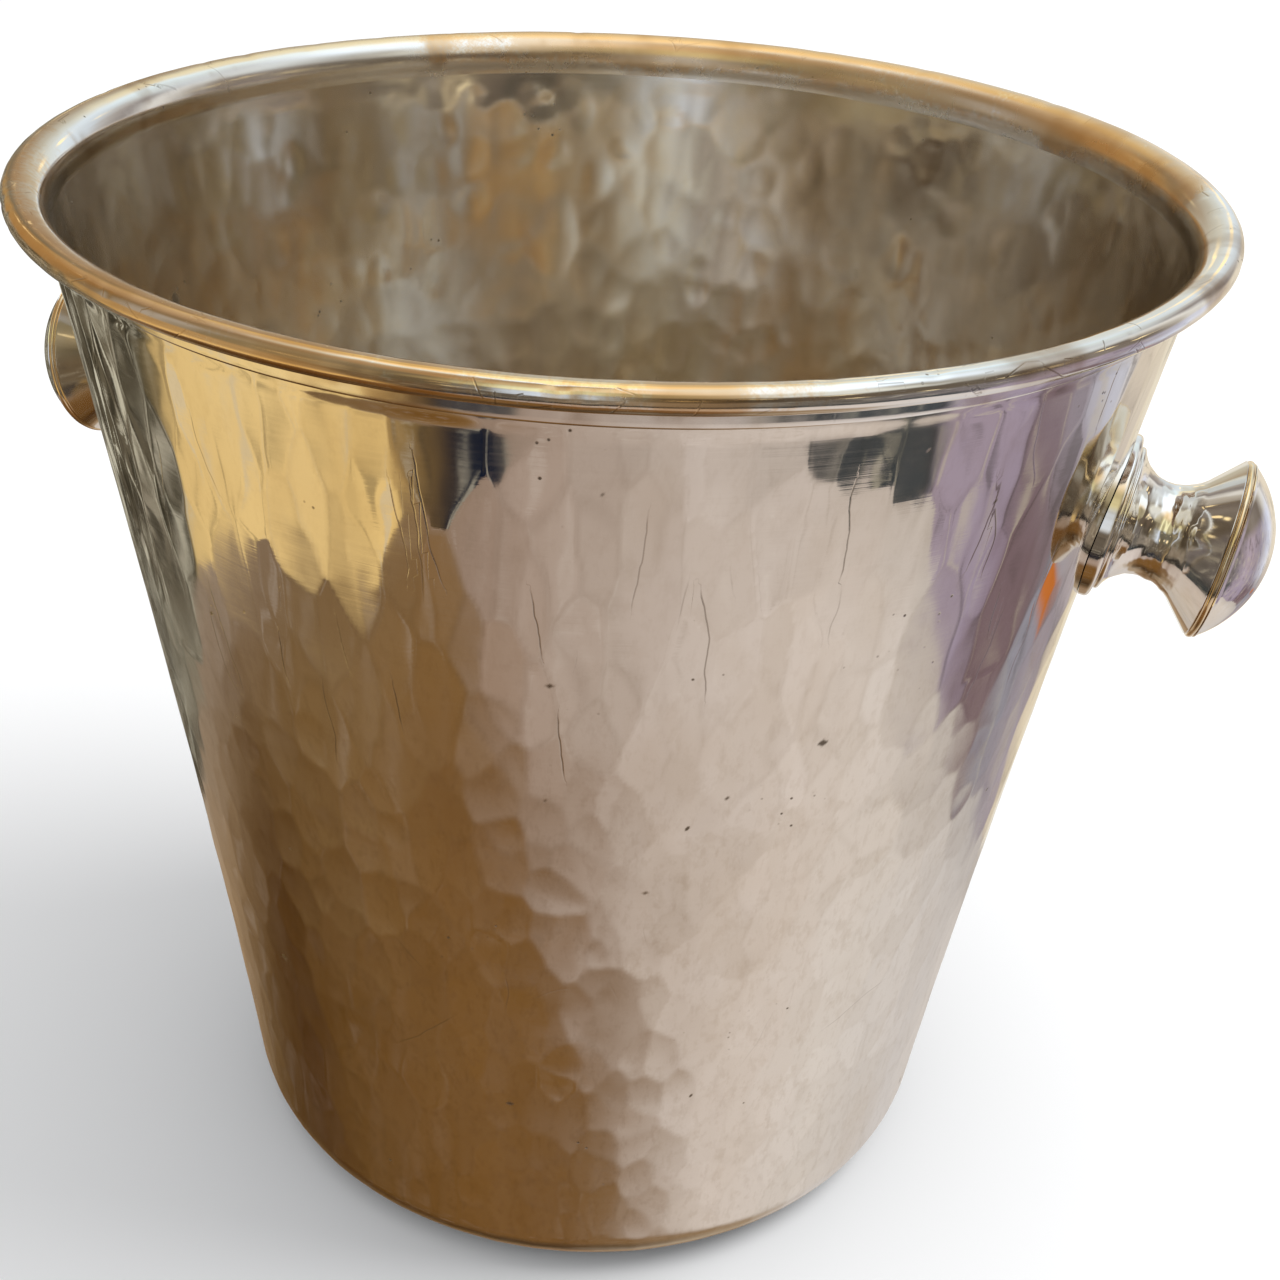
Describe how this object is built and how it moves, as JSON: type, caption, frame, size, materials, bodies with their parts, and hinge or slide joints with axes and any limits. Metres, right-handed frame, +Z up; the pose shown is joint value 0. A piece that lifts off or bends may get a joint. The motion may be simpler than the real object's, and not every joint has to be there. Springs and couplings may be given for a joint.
{
  "type": "champagne bucket",
  "caption": "Round tapered ice bucket of hammered sheet metal with a wired rim and a turned knob handle on each side, for chilling a bottle.",
  "frame": {"origin": "centre of the flat standing ring, on the plane the bucket rests on", "axes": "+Z up through the mouth, +X through the right knob, -X through the left knob"},
  "size_m": [0.241, 0.21, 0.2],
  "materials": {
    "body_plate": "hammered and polished silver plate, worn warm",
    "rim_plate": "polished, plate worn through to warm brass in places",
    "wire_brass": "drawn wire, not polished",
    "knob_plate": "turned and polished silver plate",
    "ring_plate": "polished, plate worn",
    "stud_steel": "plain threaded rod",
    "seal_rubber": "matt black",
    "fixing_brass": "machined, lightly tarnished"
  },
  "bodies": {
    "root": {"bucket_body": "body_plate", "rim_band": "rim_plate", "rim_wire": "wire_brass", "right_knob_foot": "knob_plate", "right_knob_neck": "knob_plate", "right_knob_ring": "ring_plate", "right_knob_cap": "knob_plate", "right_stud": "stud_steel", "right_seal": "seal_rubber", "right_washer": "fixing_brass", "right_nut": "fixing_brass", "left_knob_foot": "knob_plate", "left_knob_neck": "knob_plate", "left_knob_ring": "ring_plate", "left_knob_cap": "knob_plate", "left_stud": "stud_steel", "left_seal": "seal_rubber", "left_washer": "fixing_brass", "left_nut": "fixing_brass"}
  },
  "joints": []
}
